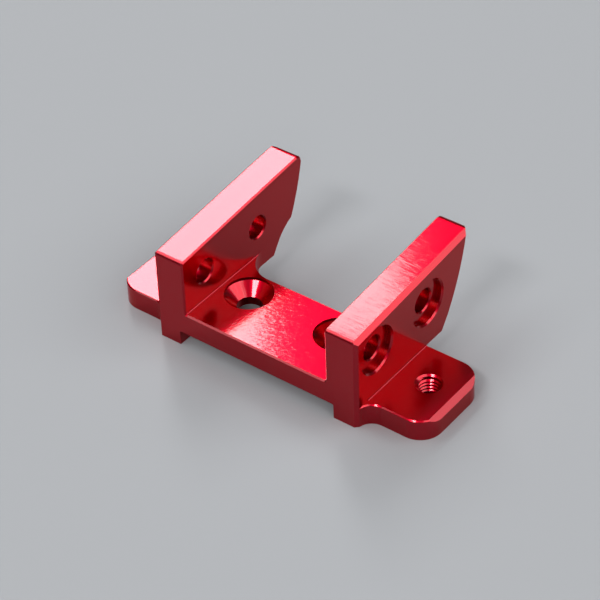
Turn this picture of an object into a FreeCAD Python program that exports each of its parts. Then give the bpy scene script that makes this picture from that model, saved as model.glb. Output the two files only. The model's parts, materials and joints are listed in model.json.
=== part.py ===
"""Machined aluminium cheek bracket, one solid, built as a parametric FreeCAD document.

Two cheeks stand on a low base. A bridge with two countersunk holes joins them, an ear with a
tapped hole sticks out on each side, and two cross holes run through both cheeks.
X runs from ear to ear, Y from the flat front to the swept back, Z up from the seating face.
The sketches measure Y from the front face; the body is then set back to the middle of its depth.
"""
import FreeCAD, Part
import math
import os
import Sketcher

SIZES = [
    # alias, value, what it is (millimetres, or degrees where it says so)
    ("overall_length", 46.7, "ear tip to ear tip"),
    ("overall_depth", 23.76, "front face to the rearmost point of the cheeks"),
    ("body_width", 30.0, "outer face to outer face of the cheeks"),
    ("cheek_thickness", 4.54, "each cheek, across"),
    ("front_height", 12.95, "seating face to the cheek top, at the front"),
    ("top_rise", 4.9, "degrees that the cheek tops climb towards the back"),
    ("nose_radius", 0.5, "rounding of the cheek tops at the front"),
    ("crest_radius", 1.0, "rounding of the cheek tops at the back"),
    ("sweep_radius", 32.0, "bow of the back edge of the cheeks"),
    ("sweep_run", 6.49, "rearmost point back to where the sweep would meet the seating plane"),
    ("top_bevel", 0.56, "bevel on the outer top edges of the cheeks"),
    ("front_bevel", 0.46, "bevel on the outer front edges of the cheeks"),
    ("rear_bevel", 1.55, "bevel on the outer back edges of the cheeks"),
    ("foot_depth", 14.1, "front face to the back of the feet and ears"),
    ("foot_width", 3.45, "each foot, across"),
    ("foot_height", 2.08, "seating face to the underside of the bridge"),
    ("heel_height", 2.93, "seating face to the underside of the cheeks behind the feet"),
    ("heel_run", 6.33, "rearmost point back to the lower back corner of the cheeks"),
    ("heel_lean", 34.0, "degrees that the lower back edge leans from upright"),
    ("hook_radius", 6.15, "hollow between the lower back edge and the sweep"),
    ("hook_height", 7.1, "seating face to the top of that hollow's circle"),
    ("bridge_thickness", 3.04, "bridge between the cheeks"),
    ("bridge_depth", 11.1, "front face to the back of the bridge"),
    ("bridge_corner", 4.0, "inside corners between the bridge and the cheeks"),
    ("ear_thickness", 2.92, "each ear, up from the seating face"),
    ("ear_setback", 2.1, "front face to the front of the ears"),
    ("ear_corner", 3.0, "outer corners of the ears"),
    ("ear_fillet", 2.0, "hollow corner where an ear's front meets its cheek"),
    ("ear_bevel", 0.66, "straight bevel along each ear's outer top edge"),
    ("ear_hole_spacing", 38.26, "between the two tapped holes"),
    ("ear_hole_depth", 8.65, "front face to the tapped holes"),
    ("thread_diameter", 3.0, "tapped holes, across the thread's roots"),
    ("thread_mouth", 3.44, "tapped holes, across the countersunk mouth"),
    ("screw_spacing", 13.48, "between the two countersunk holes"),
    ("screw_depth", 7.68, "front face to the countersunk holes"),
    ("screw_hole", 3.2, "countersunk holes, across the bore"),
    ("screw_head", 6.2, "countersunk holes, across the head recess"),
    ("screw_head_lip", 0.4, "straight lip above the countersink's cone"),
    ("screw_head_angle", 90.0, "degrees across the countersink's cone"),
    ("cross_hole", 3.1, "cross holes through the cheeks, across the bore"),
    ("cross_hole_height", 9.23, "seating face to the cross holes"),
    ("cross_hole_front", 4.12, "front face to the front cross hole"),
    ("cross_hole_spacing", 10.36, "between the two cross holes"),
    ("spotface", 6.0, "round recess at the outer mouths of the cross holes, across"),
    ("spotface_depth", 0.75, "how deep that recess goes"),
    ("spotface_bevel", 0.21, "bevel around the recess"),
    ("rim_bevel", 0.17, "bevel at both ends of the cross holes"),
    ("cheek_edge_break", 0.2, "small bevel around the inner faces of the cheeks"),
    ("edge_break", 0.15, "small bevel along the front top edges of the ears"),
    ("cutter_radius", 0.2, "hollow left where the bridge and the ears meet the cheeks"),
]

ACROSS = FreeCAD.Vector(1, 0, 0)
BACKWARDS = FreeCAD.Vector(0, 1, 0)
UPWARDS = FreeCAD.Vector(0, 0, 1)


class Size:
    """A number that remembers the sheet expression it comes from."""

    def __init__(self, value, text):
        self.value = value
        self.text = text

    def combine(self, other, sign, swapped=False):
        if not isinstance(other, Size):
            other = Size(float(other), str(float(other)))
        first, second = (other, self) if swapped else (self, other)
        values = {"+": first.value + second.value, "-": first.value - second.value,
                  "*": first.value * second.value,
                  "/": first.value / second.value if second.value else 0.0}
        return Size(values[sign], f"({first.text} {sign} {second.text})")

    def __add__(self, other):
        return self.combine(other, "+")

    def __sub__(self, other):
        return self.combine(other, "-")

    def __mul__(self, other):
        return self.combine(other, "*")

    def __truediv__(self, other):
        return self.combine(other, "/")

    def __neg__(self):
        return ZERO - self


ZERO = Size(0.0, "0")


def make_sheet(doc):
    """Put the driving sizes in a spreadsheet and give each one back as a Size."""
    sheet = doc.addObject("Spreadsheet::Sheet", "sizes")
    named = {}
    for row, (alias, value, note) in enumerate(SIZES, start=1):
        sheet.set(f"A{row}", alias)
        sheet.set(f"B{row}", str(value))
        sheet.set(f"C{row}", note)
        sheet.setAlias(f"B{row}", alias)
        named[alias] = Size(value, f"sizes.{alias}")
    doc.recompute()
    return named


class Drawing:
    """A sketch on one of the body's own planes, with its sizes bound to the sheet."""

    ORIGIN = (-1, 1)

    def __init__(self, body, name, plane, height=None):
        self.sketch = body.newObject("Sketcher::SketchObject", name)
        support = [part for part in body.Origin.OriginFeatures if part.Role == plane]
        self.sketch.AttachmentSupport = [(support[0], "")]
        self.sketch.MapMode = "FlatFace"
        if height is not None:
            self.sketch.setExpression("AttachmentOffset.Base.z", height.text)

    def tie(self, kind, *where):
        """Add a constraint that has no size, such as Coincident or Tangent."""
        self.sketch.addConstraint(Sketcher.Constraint(kind, *where))

    def bind(self, size, kind, *where, scale=1.0):
        """Add a constraint whose size follows the sheet."""
        index = self.sketch.addConstraint(Sketcher.Constraint(kind, *where, size.value * scale))
        self.sketch.setExpression(f"Constraints[{index}]", size.text)

    def place(self, curve, point, x, y):
        """Hold a point of a curve at X and Y from the sketch's origin."""
        self.bind(x, "DistanceX", *self.ORIGIN, curve, point)
        self.bind(y, "DistanceY", *self.ORIGIN, curve, point)

    def line(self, start, end):
        ends = [FreeCAD.Vector(x, y, 0) for x, y in (start, end)]
        return self.sketch.addGeometry(Part.LineSegment(*ends), False)

    def round(self, centre, radius, first=None, last=None, guide=False):
        """Draw a circle, or its arc from the first to the last angle in degrees."""
        circle = Part.Circle(FreeCAD.Vector(*centre, 0), FreeCAD.Vector(0, 0, 1), radius)
        if first is not None:
            circle = Part.ArcOfCircle(circle, math.radians(first), math.radians(last))
        return self.sketch.addGeometry(circle, guide)

    def polygon(self, corners):
        """Draw a closed outline of straight edges, each corner a pair of Sizes."""
        edges = []
        for (x0, y0), (x1, y1) in zip(corners, corners[1:] + corners[:1]):
            edges.append(self.line((x0.value, y0.value), (x1.value, y1.value)))
        for edge, following in zip(edges, edges[1:] + edges[:1]):
            self.tie("Coincident", edge, 2, following, 1)
        for edge, (x, y) in zip(edges, corners):
            self.place(edge, 1, x, y)

    def hole_circles(self, centres, diameter):
        for x, y in centres:
            circle = self.round((x.value, y.value), diameter.value / 2)
            self.place(circle, 3, x, y)
            self.bind(diameter, "Diameter", circle)


def edges_where(body, wanted, along):
    """Names of the tip's edges that run that way and whose ends both pass the test."""
    names = []
    for number, edge in enumerate(body.Tip.Shape.Edges, start=1):
        ends = [vertex.Point for vertex in edge.Vertexes]
        if len(ends) != 2 or not all(wanted(end) for end in ends):
            continue
        if abs((ends[1] - ends[0]).normalize().dot(along)) > 0.7:
            names.append(f"Edge{number}")
    return names


def rims(body, radius, at_x):
    """Names of the tip's round edges of that radius whose planes stand at X and at -X."""
    names = []
    for number, edge in enumerate(body.Tip.Shape.Edges, start=1):
        curve = edge.Curve
        if curve.TypeId == "Part::GeomCircle" and near(curve.Radius, radius):
            if near(abs(curve.Center.x), at_x) and near(abs(curve.Axis.x), 1):
                names.append(f"Edge{number}")
    return names


def near(value, target):
    return abs(value - target) < 1e-4


def extrude(body, kind, name, drawing, **settings):
    """Pad or pocket a sketch; a pocket goes right through unless it is given a length."""
    feature = body.newObject(f"PartDesign::{kind}", name)
    feature.Profile = drawing.sketch
    for key, value in settings.items():
        if isinstance(value, Size):
            feature.setExpression(key, value.text)
        else:
            setattr(feature, key, value)
    body.Document.recompute()
    return feature


def dress(body, kind, name, size, edges):
    """Chamfer or fillet those edges of the tip."""
    base = body.Tip
    feature = body.newObject(f"PartDesign::{kind}", name)
    feature.Base = (base, edges)
    feature.setExpression("Size" if kind == "Chamfer" else "Radius", size.text)
    body.Document.recompute()
    return feature


def sweep_centre(size):
    """Centres of the crest circle and of the back edge's sweep, where they touch each other."""
    rise = math.radians(size["top_rise"].value)
    crest = size["crest_radius"].value
    crest_y = size["overall_depth"].value - crest
    crest_z = size["front_height"].value + crest_y * math.tan(rise) - crest / math.cos(rise)
    big = size["sweep_radius"].value
    toe = (size["overall_depth"] - size["sweep_run"]).value
    span = math.hypot(crest_y - toe, crest_z)
    along = (span ** 2 + big ** 2 - (big - crest) ** 2) / (2 * span)
    off = math.sqrt(big ** 2 - along ** 2)
    ahead_y, ahead_z = (crest_y - toe) / span, crest_z / span
    centre = (toe + along * ahead_y - off * ahead_z, along * ahead_z + off * ahead_y)
    return (crest_y, crest_z), centre


def cheek_block(body, size):
    """The full-width block: the cheeks' side outline, before anything is cut away."""
    outline = Drawing(body, "side_outline", "YZ_Plane")
    crest_centre, centre = sweep_centre(size)
    rise = math.radians(size["top_rise"].value)
    front, toe = size["front_height"].value, size["overall_depth"] - size["sweep_run"]
    corner = (crest_centre[0] + 1, front + (crest_centre[0] + 1) * math.tan(rise))
    start = math.degrees(math.atan2(-centre[1], toe.value - centre[0]))
    end = math.degrees(math.atan2(corner[1] - centre[1], corner[0] - centre[0]))
    base = outline.line((0, 0), (toe.value, 0))
    face = outline.line((0, front), (0, 0))
    top = outline.line((0, front), corner)
    sweep = outline.round(centre, size["sweep_radius"].value, start, end)
    crest = outline.round(crest_centre, size["crest_radius"].value, guide=True)
    outline.tie("Coincident", base, 1, *outline.ORIGIN)
    outline.tie("Coincident", face, 2, *outline.ORIGIN)
    outline.tie("Coincident", face, 1, top, 1)
    outline.tie("Coincident", base, 2, sweep, 1)
    outline.tie("Coincident", top, 2, sweep, 2)
    outline.tie("Horizontal", base)
    outline.tie("Vertical", face)
    outline.tie("Tangent", crest, top)
    outline.tie("Tangent", crest, sweep)
    outline.bind(toe, "DistanceX", *outline.ORIGIN, base, 2)
    outline.bind(size["front_height"], "DistanceY", *outline.ORIGIN, face, 1)
    outline.bind(size["top_rise"], "Angle", top, scale=math.pi / 180)
    outline.bind(size["sweep_radius"], "Radius", sweep)
    outline.bind(size["crest_radius"], "Radius", crest)
    depth = size["overall_depth"] - size["crest_radius"]
    outline.bind(depth, "DistanceX", *outline.ORIGIN, crest, 3)
    extrude(body, "Pad", "cheek_block", outline, Length=size["body_width"], Midplane=True)

    half = size["body_width"].value / 2
    dress(body, "Chamfer", "rear_bevels", size["rear_bevel"],
          edges_where(body, lambda at: near(abs(at.x), half) and at.y > 1, UPWARDS))
    dress(body, "Chamfer", "top_bevels", size["top_bevel"],
          edges_where(body, lambda at: near(abs(at.x), half) and at.z > front - 1e-4, BACKWARDS))
    dress(body, "Fillet", "crest_rounding", size["crest_radius"],
          edges_where(body, lambda at: at.y > depth.value and at.z > front, ACROSS))
    dress(body, "Fillet", "nose_rounding", size["nose_radius"],
          edges_where(body, lambda at: near(at.y, 0) and near(at.z, front), ACROSS))

    bevels = Drawing(body, "front_bevel_outline", "XY_Plane")
    edge, bevel = size["body_width"] / 2, size["front_bevel"]
    for side in (1, -1):
        bevels.polygon([((edge - bevel) * side, ZERO), (edge * side, ZERO), (edge * side, bevel)])
    extrude(body, "Pocket", "front_bevels", bevels, Type="ThroughAll", Reversed=True)


def cheeks_apart(body, size):
    """Mill the channel between the cheeks, leave the bridge, and lift it off the seating face."""
    inside = size["body_width"] / 2 - size["cheek_thickness"]
    bridge_top = size["foot_height"] + size["bridge_thickness"]
    above = size["front_height"] + size["overall_depth"]
    behind = size["overall_depth"] + size["crest_radius"]

    channel = Drawing(body, "channel_outline", "XZ_Plane")
    channel.polygon([(-inside, bridge_top), (inside, bridge_top), (inside, above), (-inside, above)])
    extrude(body, "Pocket", "channel", channel, Type="ThroughAll")
    wall_foot = edges_where(body, lambda at: near(abs(at.x), inside.value) and near(at.z, bridge_top.value),
                            BACKWARDS)
    dress(body, "Fillet", "channel_hollows", size["cutter_radius"], wall_foot)

    gap = Drawing(body, "gap_outline", "XY_Plane")
    back = size["bridge_depth"]
    gap.polygon([(-inside, back), (inside, back), (inside, behind), (-inside, behind)])
    extrude(body, "Pocket", "gap", gap, Type="ThroughAll", Reversed=True)
    corners = edges_where(body, lambda at: near(abs(at.x), inside.value) and near(at.y, back.value),
                          UPWARDS)
    dress(body, "Fillet", "gap_corners", size["bridge_corner"], corners)

    foot = size["body_width"] / 2 - size["foot_width"]
    under = Drawing(body, "underside_outline", "XZ_Plane")
    lift = size["foot_height"]
    under.polygon([(-foot, ZERO), (foot, ZERO), (foot, lift), (-foot, lift)])
    extrude(body, "Pocket", "underside", under, Type="ThroughAll")
    under_corners = edges_where(body, lambda at: near(abs(at.x), foot.value) and near(at.z, lift.value),
                                BACKWARDS)
    dress(body, "Fillet", "foot_hollows", size["cutter_radius"], under_corners)


def heel_relief(body, size):
    """Cut the underside behind the feet, the lower back edge and the hollow above it."""
    relief = Drawing(body, "heel_outline", "YZ_Plane")
    lean = math.radians(size["heel_lean"].value)
    radius, heel_at = size["hook_radius"].value, size["overall_depth"] - size["heel_run"]
    heel = heel_at.value
    foot, floor = size["foot_depth"].value, size["heel_height"].value
    centre_z = size["hook_height"].value - radius
    centre_y = heel + (radius + math.sin(lean) * (centre_z - floor)) / math.cos(lean)
    meets = (centre_y - radius * math.cos(lean), centre_z + radius * math.sin(lean))
    step = relief.line((foot, 0), (foot, floor))
    underside = relief.line((foot, floor), (heel, floor))
    lower = relief.line((heel, floor), meets)
    hollow = relief.round((centre_y, centre_z), radius, 90, 180 - size["heel_lean"].value)
    outside = relief.line((centre_y, centre_z + radius), (centre_y, 0))
    base = relief.line((centre_y, 0), (foot, 0))
    for first, second in ((step, underside), (underside, lower), (outside, base), (base, step)):
        relief.tie("Coincident", first, 2, second, 1)
    relief.tie("Tangent", lower, 2, hollow, 2)
    relief.tie("Coincident", hollow, 1, outside, 1)
    relief.tie("Vertical", hollow, 1, hollow, 3)
    relief.tie("Vertical", step)
    relief.tie("Horizontal", underside)
    relief.tie("Vertical", outside)
    relief.tie("PointOnObject", step, 1, -1)
    relief.tie("PointOnObject", base, 1, -1)
    relief.bind(size["foot_depth"], "DistanceX", *relief.ORIGIN, step, 1)
    relief.place(lower, 1, heel_at, size["heel_height"])
    upright = Size(90.0, "90") - size["heel_lean"]
    relief.bind(upright, "Angle", lower, scale=math.pi / 180)
    relief.bind(size["hook_radius"], "Radius", hollow)
    relief.bind(size["hook_height"], "DistanceY", *relief.ORIGIN, hollow, 1)
    extrude(body, "Pocket", "heel_relief", relief, Type="ThroughAll", Midplane=True)


def ears(body, size):
    """Add the two ears, each with a hollow front corner, round outer corners and a bevel."""
    outline = Drawing(body, "ear_outline", "XY_Plane")
    cheek, tip = size["body_width"] / 2, size["overall_length"] / 2
    front, back, start = size["ear_setback"], size["foot_depth"], size["front_bevel"]
    radius = size["ear_fillet"].value
    centre_y = front.value - radius
    reach = math.sqrt(radius ** 2 - (start.value - centre_y) ** 2)
    opening = math.degrees(math.asin((start.value - centre_y) / radius))
    for side in (1, -1):
        centre_x = side * (cheek.value + reach)
        if side > 0:
            hollow = outline.round((centre_x, centre_y), radius, 90, 180 - opening)
            at_front, at_cheek = 1, 2
        else:
            hollow = outline.round((centre_x, centre_y), radius, opening, 90)
            at_front, at_cheek = 2, 1
        near_x, far_x = side * cheek.value, side * tip.value
        edge = outline.line((centre_x, front.value), (far_x, front.value))
        end = outline.line((far_x, front.value), (far_x, back.value))
        rear = outline.line((far_x, back.value), (near_x, back.value))
        root = outline.line((near_x, back.value), (near_x, start.value))
        for first, second in ((edge, end), (end, rear), (rear, root)):
            outline.tie("Coincident", first, 2, second, 1)
        outline.tie("Coincident", root, 2, hollow, at_cheek)
        outline.tie("Tangent", hollow, at_front, edge, 1)
        outline.bind(size["ear_fillet"], "Radius", hollow)
        outline.place(edge, 2, tip * side, front)
        outline.place(rear, 1, tip * side, back)
        outline.place(root, 1, cheek * side, back)
        outline.place(root, 2, cheek * side, start)
        outline.tie("Horizontal", edge)
    extrude(body, "Pad", "ears", outline, Length=size["ear_thickness"])
    dress(body, "Fillet", "ear_corners", size["ear_corner"],
          edges_where(body, lambda at: near(abs(at.x), tip.value), UPWARDS))

    bevels = Drawing(body, "ear_bevel_outline", "XZ_Plane")
    top, bevel = size["ear_thickness"], size["ear_bevel"]
    for side in (1, -1):
        bevels.polygon([((tip - bevel) * side, top), (tip * side, top), (tip * side, top - bevel)])
    extrude(body, "Pocket", "ear_bevels", bevels, Type="ThroughAll")
    dress(body, "Chamfer", "ear_front_edges", size["edge_break"],
          edges_where(body, lambda at: near(at.y, front.value) and near(at.z, top.value), ACROSS))
    corner_hollows(body, "ear_hollows", size, cheek, top, back - front)


def corner_hollows(body, name, size, corner_x, corner_z, reach):
    """Fill the inside corners at X and -X with the cutter's radius, along Y as far as reach."""
    sketch = Drawing(body, f"{name}_outline", "XZ_Plane", -size["ear_setback"])
    radius = size["cutter_radius"]
    for side, first, last in ((1, 180, 270), (-1, 270, 360)):
        centre = ((corner_x + radius) * side, corner_z + radius)
        hollow = sketch.round((centre[0].value, centre[1].value), radius.value, first, last)
        upper, lower = (1, 2) if side > 0 else (2, 1)
        corner, top = (corner_x * side, corner_z), (corner_x * side, corner_z + radius)
        out = ((corner_x + radius) * side, corner_z)
        wall = sketch.line((top[0].value, top[1].value), (corner[0].value, corner[1].value))
        shelf = sketch.line((corner[0].value, corner[1].value), (out[0].value, out[1].value))
        sketch.tie("Coincident", wall, 2, shelf, 1)
        sketch.tie("Coincident", wall, 1, hollow, upper)
        sketch.tie("Coincident", shelf, 2, hollow, lower)
        sketch.bind(radius, "Radius", hollow)
        sketch.place(wall, 1, *top)
        sketch.place(wall, 2, *corner)
        sketch.place(shelf, 2, *out)
    extrude(body, "Pad", name, sketch, Length=reach, Reversed=True)


def drill(body, name, centres, plane, height, diameter, **settings):
    """Drill round holes through the part, with the recess that the settings give."""
    sketch = Drawing(body, f"{name}_centres", plane, height)
    sketch.hole_circles(centres, diameter)
    hole = body.newObject("PartDesign::Hole", name)
    hole.Profile = sketch.sketch
    body.Document.recompute()
    hole.DepthType = "ThroughAll"
    for key, value in settings.items():
        if not isinstance(value, Size):
            setattr(hole, key, value)
    hole.setExpression("Diameter", diameter.text)
    for key, value in settings.items():
        if isinstance(value, Size):
            hole.setExpression(key, value.text)
    body.Document.recompute()
    return hole


def holes(body, size):
    """Countersunk holes in the bridge, tapped holes in the ears, cross holes in the cheeks."""
    bridge_top = size["foot_height"] + size["bridge_thickness"]
    reach = size["screw_spacing"] / 2
    centres = [(reach, size["screw_depth"]), (-reach, size["screw_depth"])]
    lips = Drawing(body, "screw_head_outline", "XY_Plane", bridge_top)
    lips.hole_circles(centres, size["screw_head"])
    extrude(body, "Pocket", "screw_head_lips", lips, Length=size["screw_head_lip"])
    drill(body, "screw_holes", centres, "XY_Plane", bridge_top - size["screw_head_lip"],
          size["screw_hole"], HoleCutType="Countersink",
          HoleCutCustomValues=True, HoleCutDiameter=size["screw_head"],
          HoleCutCountersinkAngle=size["screw_head_angle"])
    reach = size["ear_hole_spacing"] / 2
    drill(body, "tapped_holes", [(reach, size["ear_hole_depth"]), (-reach, size["ear_hole_depth"])],
          "XY_Plane", size["ear_thickness"], size["thread_diameter"], HoleCutType="Countersink",
          HoleCutCustomValues=True, HoleCutDiameter=size["thread_mouth"],
          HoleCutCountersinkAngle=size["screw_head_angle"])
    first, height = size["cross_hole_front"], size["cross_hole_height"]
    cross = drill(body, "cross_holes", [(first, height), (first + size["cross_hole_spacing"], height)],
                  "YZ_Plane", size["body_width"] / 2, size["cross_hole"], HoleCutType="Counterbore",
                  HoleCutCustomValues=True, HoleCutDiameter=size["spotface"],
                  HoleCutDepth=size["spotface_depth"])
    mirror = body.newObject("PartDesign::Mirrored", "cross_holes_other_side")
    mirror.Originals = [cross]
    plane = [part for part in body.Origin.OriginFeatures if part.Role == "YZ_Plane"]
    mirror.MirrorPlane = (plane[0], [""])
    body.Tip = mirror
    body.Document.recompute()


def edge_breaks(body, size):
    """Break the rims of the cross holes and the edges around the inner faces of the cheeks."""
    cheek = size["body_width"].value / 2
    inside = cheek - size["cheek_thickness"].value
    floor = cheek - size["spotface_depth"].value
    bore = size["cross_hole"].value / 2
    dress(body, "Chamfer", "cross_hole_rims", size["rim_bevel"],
          rims(body, bore, inside) + rims(body, bore, floor))
    dress(body, "Chamfer", "spotface_rims", size["spotface_bevel"],
          rims(body, size["spotface"].value / 2, cheek))
    front = size["front_height"].value
    dress(body, "Chamfer", "cheek_inner_edges", size["cheek_edge_break"],
          edges_where(body, lambda at: near(abs(at.x), inside) and at.z > front - 1, BACKWARDS))


def main():
    doc = FreeCAD.newDocument("cheek_bracket")
    size = make_sheet(doc)
    body = doc.addObject("PartDesign::Body", "bracket")
    body.Label = "bracket"
    cheek_block(body, size)
    cheeks_apart(body, size)
    heel_relief(body, size)
    ears(body, size)
    holes(body, size)
    edge_breaks(body, size)
    body.setExpression("Placement.Base.y", (size["overall_depth"] / -2).text)
    doc.recompute()
    for item in doc.Objects:
        if "Invalid" in item.State or "Error" in item.State:
            raise RuntimeError(f"{item.Name} did not build: {item.State}")
    if body.Shape.isNull() or not body.Shape.isValid() or len(body.Shape.Solids) != 1:
        raise RuntimeError("the bracket is not one valid solid")
    os.makedirs("parts", exist_ok=True)
    body.Shape.exportStep("parts/bracket.step")


main()
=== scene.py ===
"""Looks for the machined bracket: red anodised finish, cut threads in the ears, and a studio."""
import json
import math

import bpy
from mathutils import Matrix, Vector


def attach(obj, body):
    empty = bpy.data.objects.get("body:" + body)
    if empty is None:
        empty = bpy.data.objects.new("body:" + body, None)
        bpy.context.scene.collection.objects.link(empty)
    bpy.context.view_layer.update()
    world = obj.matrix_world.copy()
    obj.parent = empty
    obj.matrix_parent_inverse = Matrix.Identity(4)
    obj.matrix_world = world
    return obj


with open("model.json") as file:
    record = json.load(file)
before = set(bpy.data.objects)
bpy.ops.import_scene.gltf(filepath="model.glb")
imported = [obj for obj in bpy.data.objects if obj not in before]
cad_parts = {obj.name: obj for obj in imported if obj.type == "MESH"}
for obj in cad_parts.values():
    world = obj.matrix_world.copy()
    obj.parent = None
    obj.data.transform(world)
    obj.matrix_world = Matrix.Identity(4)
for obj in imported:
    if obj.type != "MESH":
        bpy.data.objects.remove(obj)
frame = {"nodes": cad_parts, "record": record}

bl_info = {
    "name": "Anodised bracket",
    "version": (1, 0, 0),
    "blender": (4, 5, 0),
    "location": "View3D > Sidebar > Bracket",
    "description": "Dresses a machined aluminium bracket and sets it on a studio floor",
    "category": "Object",
}

MM = 0.001
BRACKET = "bracket"
EAR_HOLES = next(mount for mount in frame["record"]["mounts"] if mount["name"] == "ear_holes")


def dimension(name, description, default, **settings):
    """A length property, given in millimetres and kept in metres."""
    return bpy.props.FloatProperty(name=name, description=description, default=default * MM,
                                   min=0.0, precision=5, unit="LENGTH", **settings)


def share(name, description, default):
    """A plain number from 0 to 1."""
    return bpy.props.FloatProperty(name=name, description=description, default=default,
                                   min=0.0, max=1.0, subtype="FACTOR")


def level(name, description, default):
    """How bright a lamp looks, where a white sheet in plain light is 1."""
    return bpy.props.FloatProperty(name=name, description=description, default=default, min=0.0)


class AnodisedFinish(bpy.types.PropertyGroup):
    """The dyed oxide layer and the tool marks under it."""

    dye: bpy.props.FloatVectorProperty(
        name="Dye", description="Colour of the anodised metal", subtype="COLOR",
        size=3, min=0.0, max=1.0, default=(0.41, 0.0004, 0.012))
    roughness: share("Roughness", "How matt the milled faces are", 0.3)
    gloss_layer: share("Gloss layer", "Strength of the clear oxide layer on top", 0.56)
    gloss_roughness: share("Gloss roughness", "How matt the clear layer is", 0.06)
    mark_spacing: dimension("Mark spacing", "Between two milling marks", 0.34)
    mark_depth: dimension("Mark depth", "Depth of the milling marks", 0.0085)


class EarThreads(bpy.types.PropertyGroup):
    """The threads cut in the two ear holes."""

    pitch: dimension("Pitch", "Rise of the thread in one turn", 0.5)
    root_radius: dimension("Root radius", "Wall of the tapped hole",
                           EAR_HOLES["dims"]["hole_r_mm"])
    depth: dimension("Depth", "How far the thread's crest stands in from the wall", 0.2)
    start: dimension("Start", "Height of the first turn above the seating face", 0.26)
    end: dimension("End", "Height of the last turn above the seating face", 2.62)
    spacing: dimension("Spacing", "Distance between the two ear holes",
                       EAR_HOLES["dims"]["spacing_x_mm"])
    setback: dimension("Setback", "How far the holes stand in front of the middle",
                       -EAR_HOLES["pos_m"][1] / MM)


class StudioStage(bpy.types.PropertyGroup):
    """The floor, the lamps and the light from all round."""

    floor_colour: bpy.props.FloatVectorProperty(
        name="Floor", description="Colour of the floor", subtype="COLOR",
        size=3, min=0.0, max=1.0, default=(0.32, 0.33, 0.345))
    room_light: level("Room light", "Light from all round", 0.1)
    back_left: level("Back left", "Lamp that the top faces reflect", 17.6)
    overhead: level("Overhead", "Lamp over the left shoulder", 4.2)
    right_back: level("Right back", "Lamp that the bevels reflect", 3.1)
    right_side: level("Right side", "The same lamp, further forward", 3.1)
    right_front: level("Right front", "The same lamp, its front end", 3.1)
    right_end: level("Right end", "The same lamp, low in front", 4.5)
    back_right: level("Back right", "Lamp that brightens the inside corners", 1.7)
    front: level("Front", "Small hard lamp in front", 29.0)
    front_left: level("Front left", "Small lamp that the front edges reflect", 3.4)


# Each lamp: its level's name, the direction it stands in, then its width, height and tilt, all in
# degrees. Azimuth 0 is straight in front of the part, and it grows to the right.
SOFTBOXES = [
    ("back_left", -133.9, 37.0, 10.0, 24.0, -5.0),
    ("overhead", -82.0, 56.0, 54.0, 20.0, 0.0),
    ("right_back", 125.0, 36.6, 22.6, 28.0, 0.0),
    ("right_side", 96.5, 37.5, 22.6, 25.0, 0.0),
    ("right_front", 68.0, 37.5, 22.6, 25.0, 0.0),
    ("right_end", 40.0, 34.0, 22.0, 16.0, 0.0),
    ("back_right", 149.0, 50.0, 18.0, 30.0, 0.0),
    ("front", 0.5, 47.8, 19.0, 7.0, 0.0),
    ("front_left", -36.5, 36.5, 8.0, 7.0, 0.0),
]


# ---- materials -------------------------------------------------------------------------------

class Nodes:
    """Short spellings for building a node tree."""

    def __init__(self, tree):
        self.tree = tree
        tree.nodes.clear()

    def add(self, kind, settings=None, **inputs):
        """Add a node, set its properties, then set or link its inputs by name."""
        node = self.tree.nodes.new(kind)
        for key, value in (settings or {}).items():
            setattr(node, key, value)
        for key, value in inputs.items():
            self.feed(node.inputs[key.replace("_", " ")], value)
        return node

    def feed(self, socket, value):
        """Link a socket to another one, or set its value."""
        if isinstance(value, bpy.types.NodeSocket):
            self.tree.links.new(value, socket)
        else:
            socket.default_value = value

    def math(self, operation, *values):
        """Add a math node and give back its result."""
        node = self.tree.nodes.new("ShaderNodeMath")
        node.operation = operation
        for socket, value in zip(node.inputs, values):
            self.feed(socket, value)
        return node.outputs[0]


def blank_material(name):
    """A new material and its empty node tree."""
    material = bpy.data.materials.new(name)
    material.use_nodes = True
    return material, Nodes(material.node_tree)


# The cutter's marks on the bridge and on the cheek tops: their angle to the row of ears, how many
# there are to one mark spacing along and across it, and their depth as a share of the mark depth.
BRIDGE_MARKS = {"slant": math.radians(-28), "along": 0.24, "across": 1.25, "depth": 1.0}
TOP_MARKS = {"slant": 0.0, "along": 0.14, "across": 1.0, "depth": 0.53}
ABOVE_BRIDGE = 8 * MM
BELOW_TOPS = 9 * MM
STILL_TILTED = 0.97  # upward part of the normal where the marks begin to show
LEVEL_ENOUGH = 0.99  # and where they show in full
WAVINESS = 0.9  # how far the streaks wander from a straight line
GRAZING_TINT = (1.0, 0.3, 0.4, 1.0)  # keeps the metal red where it is seen at a low angle


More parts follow.
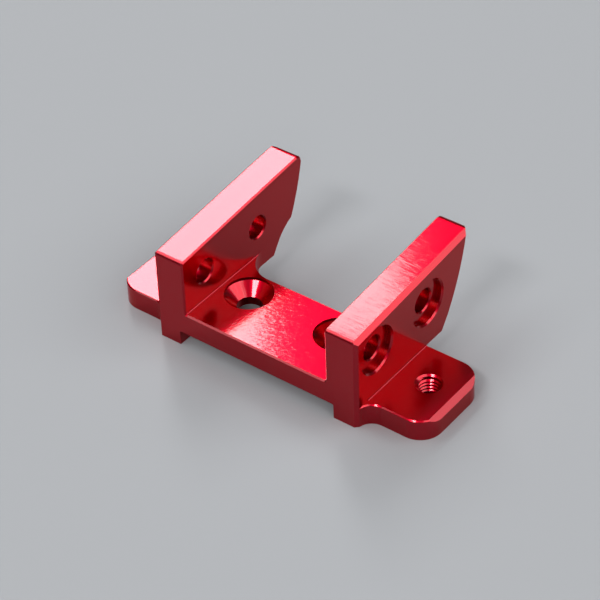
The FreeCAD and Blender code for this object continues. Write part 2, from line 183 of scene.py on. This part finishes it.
def milling_marks(nodes, finish):
    """Fine wavy streaks on the faces that look up, aslant on the bridge and along X above it."""
    place = nodes.add("ShaderNodeTexCoord")
    facing = nodes.add("ShaderNodeSeparateXYZ", Vector=place.outputs["Normal"])
    upward = nodes.add("ShaderNodeMapRange", Value=facing.outputs["Z"], From_Min=STILL_TILTED,
                       From_Max=LEVEL_ENOUGH)
    height = nodes.add("ShaderNodeSeparateXYZ", Vector=place.outputs["Object"])
    raised = nodes.add("ShaderNodeMapRange", Value=height.outputs["Z"], From_Min=ABOVE_BRIDGE,
                       From_Max=BELOW_TOPS)

    def by_height(key, unit):
        """The bridge's value low down, and the cheek tops' value high up."""
        return nodes.add("ShaderNodeMapRange", Value=raised.outputs[0],
                         To_Min=BRIDGE_MARKS[key] * unit,
                         To_Max=TOP_MARKS[key] * unit).outputs[0]

    turned = nodes.add("ShaderNodeVectorRotate", {"rotation_type": "Z_AXIS"},
                       Vector=place.outputs["Object"], Angle=by_height("slant", 1.0))
    across = by_height("across", 1.0 / finish.mark_spacing)
    scale = nodes.add("ShaderNodeCombineXYZ", X=by_height("along", 1.0 / finish.mark_spacing),
                      Y=across, Z=across)
    stretch = nodes.add("ShaderNodeMapping", Vector=turned.outputs[0], Scale=scale.outputs[0])
    streaks = nodes.add("ShaderNodeTexNoise", Vector=stretch.outputs[0], Scale=1.0, Detail=1.0,
                        Roughness=0.6, Distortion=WAVINESS)
    return nodes.add("ShaderNodeBump", Strength=upward.outputs[0],
                     Distance=by_height("depth", finish.mark_depth), Height=streaks.outputs[0])


def anodised_metal(finish):
    """Milled aluminium under a dyed, clear oxide layer."""
    material, nodes = blank_material("anodised_red")
    marks = milling_marks(nodes, finish)
    shader = nodes.add("ShaderNodeBsdfPrincipled", Base_Color=(*finish.dye, 1.0), Metallic=1.0,
                       Roughness=finish.roughness, Specular_Tint=GRAZING_TINT,
                       Coat_Weight=finish.gloss_layer, Coat_Roughness=finish.gloss_roughness,
                       Normal=marks.outputs[0], Coat_Normal=marks.outputs[0])
    nodes.add("ShaderNodeOutputMaterial", Surface=shader.outputs[0])
    return material


def plain_floor(colour):
    """An even matt surface."""
    material, nodes = blank_material("studio_floor")
    shader = nodes.add("ShaderNodeBsdfPrincipled", Base_Color=(*colour, 1.0), Roughness=0.9,
                       Specular_IOR_Level=0.2)
    nodes.add("ShaderNodeOutputMaterial", Surface=shader.outputs[0])
    return material


# ---- threads ---------------------------------------------------------------------------------

THREAD_SIZES = ("Pitch", "Root Radius", "Depth", "Start", "End", "Spacing", "Setback")
POINTS_PER_TURN = 72
SECTION_MIDDLE = 0.45  # from the wall to the middle of the section, in depths
SECTION_HEIGHT = 1.12  # across the section, in depths, so that its root lies inside the wall
ROOT_WIDTH = 0.94  # the section's two widths, in pitches
CREST_WIDTH = 0.4
CREST_SHIFT = -0.178  # the crest's place, in pitches: the upper side slopes, the lower is steep
RUN_OUT = 0.06  # share of the thread's length in which each end sinks into the wall
RUN_OUT_SPREAD = 1.25  # how much wider the helix is at its very ends


def helix_tree():
    """A geometry tree that lays one thread of trapezoid section in each of the two ear holes."""
    tree = bpy.data.node_groups.new("thread_helix", "GeometryNodeTree")
    for name in THREAD_SIZES:
        tree.interface.new_socket(name, in_out="INPUT", socket_type="NodeSocketFloat")
    tree.interface.new_socket("Material", in_out="INPUT", socket_type="NodeSocketMaterial")
    tree.interface.new_socket("Mesh", in_out="OUTPUT", socket_type="NodeSocketGeometry")
    kit = Nodes(tree)
    given = kit.add("NodeGroupInput").outputs
    rise = kit.math("SUBTRACT", given["End"], given["Start"])
    radius = kit.math("SUBTRACT", given["Root Radius"],
                      kit.math("MULTIPLY", given["Depth"], SECTION_MIDDLE))
    spiral = kit.add("GeometryNodeCurveSpiral", Resolution=POINTS_PER_TURN, Height=rise,
                     Rotations=kit.math("DIVIDE", rise, given["Pitch"]),
                     Start_Radius=radius, End_Radius=radius)

    along = kit.add("GeometryNodeSplineParameter").outputs["Factor"]
    from_end = kit.math("SUBTRACT", 0.5, kit.math("ABSOLUTE", kit.math("SUBTRACT", along, 0.5)))
    run_out = kit.add("ShaderNodeMapRange", {"interpolation_type": "SMOOTHSTEP"}, Value=from_end,
                      From_Min=0.0, From_Max=RUN_OUT, To_Min=RUN_OUT_SPREAD,
                      To_Max=1.0).outputs["Result"]
    place = kit.add("ShaderNodeSeparateXYZ",
                    Vector=kit.add("GeometryNodeInputPosition").outputs[0]).outputs
    spread = kit.add("ShaderNodeCombineXYZ", X=kit.math("MULTIPLY", place[0], run_out),
                     Y=kit.math("MULTIPLY", place[1], run_out), Z=place[2])
    path = kit.add("GeometryNodeSetPosition", Geometry=spiral.outputs[0], Position=spread.outputs[0])
    upright = kit.add("GeometryNodeSetCurveNormal", {"mode": "Z_UP"}, Curve=path.outputs[0])

    section = kit.add("GeometryNodeCurvePrimitiveQuadrilateral", {"mode": "TRAPEZOID"},
                      Height=kit.math("MULTIPLY", given["Depth"], SECTION_HEIGHT),
                      Bottom_Width=kit.math("MULTIPLY", given["Pitch"], ROOT_WIDTH),
                      Top_Width=kit.math("MULTIPLY", given["Pitch"], CREST_WIDTH),
                      Offset=kit.math("MULTIPLY", given["Pitch"], CREST_SHIFT))
    turned = kit.add("GeometryNodeTransform", Geometry=section.outputs[0],
                     Rotation=(0.0, 0.0, math.radians(-90)))
    thread = kit.add("GeometryNodeCurveToMesh", Curve=upright.outputs[0],
                     Profile_Curve=turned.outputs[0], Fill_Caps=True)

    first = kit.add("ShaderNodeCombineXYZ", X=kit.math("MULTIPLY", given["Spacing"], -0.5),
                    Y=kit.math("MULTIPLY", given["Setback"], -1.0), Z=given["Start"])
    step = kit.add("ShaderNodeCombineXYZ", X=given["Spacing"])
    holes = kit.add("GeometryNodeMeshLine", Count=2, Start_Location=first.outputs[0],
                    Offset=step.outputs[0])
    both = kit.add("GeometryNodeInstanceOnPoints", Points=holes.outputs[0],
                   Instance=thread.outputs[0])
    solid = kit.add("GeometryNodeRealizeInstances", Geometry=both.outputs[0])
    flat = kit.add("GeometryNodeSetShadeSmooth", Geometry=solid.outputs[0], Shade_Smooth=False)
    finish = kit.add("GeometryNodeSetMaterial", Geometry=flat.outputs[0],
                     Material=given["Material"])
    kit.add("NodeGroupOutput", Mesh=finish.outputs[0])
    return tree


def grown(name, tree, values):
    """Run a geometry tree on an empty mesh and keep the result as a plain mesh object."""
    seed = bpy.data.objects.new(name, bpy.data.meshes.new(name))
    bpy.context.collection.objects.link(seed)
    modifier = seed.modifiers.new(name, "NODES")
    modifier.node_group = tree
    sockets = {item.name: item.identifier for item in tree.interface.items_tree
               if item.item_type == "SOCKET" and item.in_out == "INPUT"}
    for key, value in values.items():
        modifier[sockets[key]] = value
    seed.update_tag()
    bpy.context.view_layer.update()
    evaluated = seed.evaluated_get(bpy.context.evaluated_depsgraph_get())
    mesh = bpy.data.meshes.new_from_object(evaluated)
    seed.modifiers.clear()
    seed.data = mesh
    mesh.name = name
    if not mesh.polygons:
        raise RuntimeError(f"{name} came out empty")
    return seed


class OBJECT_OT_bracket_finish(bpy.types.Operator):
    """Give the machined body its anodised finish"""

    bl_idname = "bracket.finish"
    bl_label = "Anodise the bracket"

    def execute(self, context):
        body = frame["nodes"][BRACKET]
        material = anodised_metal(context.scene.anodised_finish)
        for slot in body.material_slots:
            slot.material = material
        return {"FINISHED"}


class OBJECT_OT_bracket_threads(bpy.types.Operator):
    """Cut the threads in the two ear holes"""

    bl_idname = "bracket.threads"
    bl_label = "Cut the ear threads"

    def execute(self, context):
        sizes = context.scene.ear_threads
        values = {name: getattr(sizes, name.lower().replace(" ", "_")) for name in THREAD_SIZES}
        values["Material"] = bpy.data.materials["anodised_red"]
        threads = grown("ear_threads", helix_tree(), values)
        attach(threads, "root")
        return {"FINISHED"}


# ---- stage -----------------------------------------------------------------------------------

LAMP_DISTANCE = 1.2
LAMP_AIM = Vector((0, 0, 6 * MM))  # what the lamps face, near the middle of the bracket
FLOOR_REACH = 3.0  # from the middle of the floor to its sides
FLOOR_GAP = 0.01 * MM  # keeps the floor from sharing a plane with the seating face
CAMERA_PLACE = Vector((135.218, -173.713, 186.349)) * MM
CAMERA_TARGET = Vector((-4.703, 3.169, 0.0)) * MM
CAMERA_ROLL = math.radians(-2.205)
CAMERA_LENS = 141.0
SENSOR_WIDTH = 36.0
CLIP_NEAR = 0.01
CLIP_FAR = 50.0


def towards(azimuth, elevation):
    """Unit vector for a bearing in degrees: 0 is in front of the bracket, 90 on its right."""
    a, e = math.radians(azimuth), math.radians(elevation)
    return Vector((math.sin(a) * math.cos(e), -math.cos(a) * math.cos(e), math.sin(e)))


def softbox(name, azimuth, elevation, width, height, tilt, brightness):
    """A rectangular lamp; its width, its height and its tilt are angles in degrees."""
    data = bpy.data.lights.new(name, "AREA")
    data.shape = "RECTANGLE"
    data.size = 2 * LAMP_DISTANCE * math.tan(math.radians(width / 2))
    data.size_y = 2 * LAMP_DISTANCE * math.tan(math.radians(height / 2))
    data.energy = math.pi * brightness * data.size * data.size_y
    lamp = bpy.data.objects.new(name, data)
    direction = towards(azimuth, elevation)
    lamp.location = LAMP_AIM + LAMP_DISTANCE * direction
    turn = Matrix.Rotation(math.radians(tilt), 4, "Z")
    lamp.rotation_euler = (direction.to_track_quat("Z", "Y").to_matrix().to_4x4() @ turn).to_euler()
    bpy.context.collection.objects.link(lamp)


def place_camera():
    """Set the scene's camera at its place, looking to its target."""
    data = bpy.data.cameras.new("camera")
    data.sensor_width = SENSOR_WIDTH
    data.lens = CAMERA_LENS
    data.clip_start = CLIP_NEAR
    data.clip_end = CLIP_FAR
    camera = bpy.data.objects.new("camera", data)
    back = (CAMERA_PLACE - CAMERA_TARGET).normalized()
    right = Vector((0, 0, 1)).cross(back).normalized()
    above = back.cross(right)
    turn = Matrix((right, above, back)).transposed() @ Matrix.Rotation(CAMERA_ROLL, 3, "Z")
    camera.matrix_world = Matrix.Translation(CAMERA_PLACE) @ turn.to_4x4()
    bpy.context.collection.objects.link(camera)
    bpy.context.scene.camera = camera


class OBJECT_OT_bracket_stage(bpy.types.Operator):
    """Lay the floor, hang the lamps and place the camera"""

    bl_idname = "bracket.stage"
    bl_label = "Set the studio"

    def execute(self, context):
        stage = context.scene.studio_stage
        mesh = bpy.data.meshes.new("studio_floor")
        sides = ((-1, -1), (1, -1), (1, 1), (-1, 1))
        mesh.from_pydata([(x * FLOOR_REACH, y * FLOOR_REACH, -FLOOR_GAP) for x, y in sides],
                         [], [(0, 1, 2, 3)])
        floor = bpy.data.objects.new("studio_floor", mesh)
        mesh.materials.append(plain_floor(stage.floor_colour))
        context.collection.objects.link(floor)

        world = bpy.data.worlds.new("room")
        context.scene.world = world
        world.use_nodes = True
        nodes = Nodes(world.node_tree)
        light = nodes.add("ShaderNodeBackground", Color=(1.0, 1.0, 1.0, 1.0),
                          Strength=stage.room_light)
        nodes.add("ShaderNodeOutputWorld", Surface=light.outputs[0])

        for name, *placing in SOFTBOXES:
            softbox(name, *placing, getattr(stage, name))
        place_camera()
        context.scene.view_settings.view_transform = "Standard"
        return {"FINISHED"}


class VIEW3D_PT_bracket(bpy.types.Panel):
    """Sizes, colours and lamps of the bracket scene"""

    bl_label = "Bracket"
    bl_idname = "VIEW3D_PT_bracket"
    bl_space_type = "VIEW_3D"
    bl_region_type = "UI"
    bl_category = "Bracket"

    def draw(self, context):
        for group, operator in STEPS:
            box = self.layout.box()
            settings = getattr(context.scene, group)
            for key in settings.bl_rna.properties.keys():
                if key not in ("rna_type", "name"):
                    box.prop(settings, key)
            box.operator(operator)


STEPS = (("anodised_finish", "bracket.finish"), ("ear_threads", "bracket.threads"),
         ("studio_stage", "bracket.stage"))
GROUPS = {"anodised_finish": AnodisedFinish, "ear_threads": EarThreads,
          "studio_stage": StudioStage}
CLASSES = (AnodisedFinish, EarThreads, StudioStage, OBJECT_OT_bracket_finish,
           OBJECT_OT_bracket_threads, OBJECT_OT_bracket_stage, VIEW3D_PT_bracket)


def register():
    for item in CLASSES:
        bpy.utils.register_class(item)
    for name, group in GROUPS.items():
        setattr(bpy.types.Scene, name, bpy.props.PointerProperty(type=group))


def unregister():
    for name in GROUPS:
        delattr(bpy.types.Scene, name)
    for item in reversed(CLASSES):
        bpy.utils.unregister_class(item)


def main():
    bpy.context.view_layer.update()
    register()
    bpy.ops.bracket.finish()
    bpy.ops.bracket.threads()
    bpy.ops.bracket.stage()


if __name__ == "__main__":
    main()
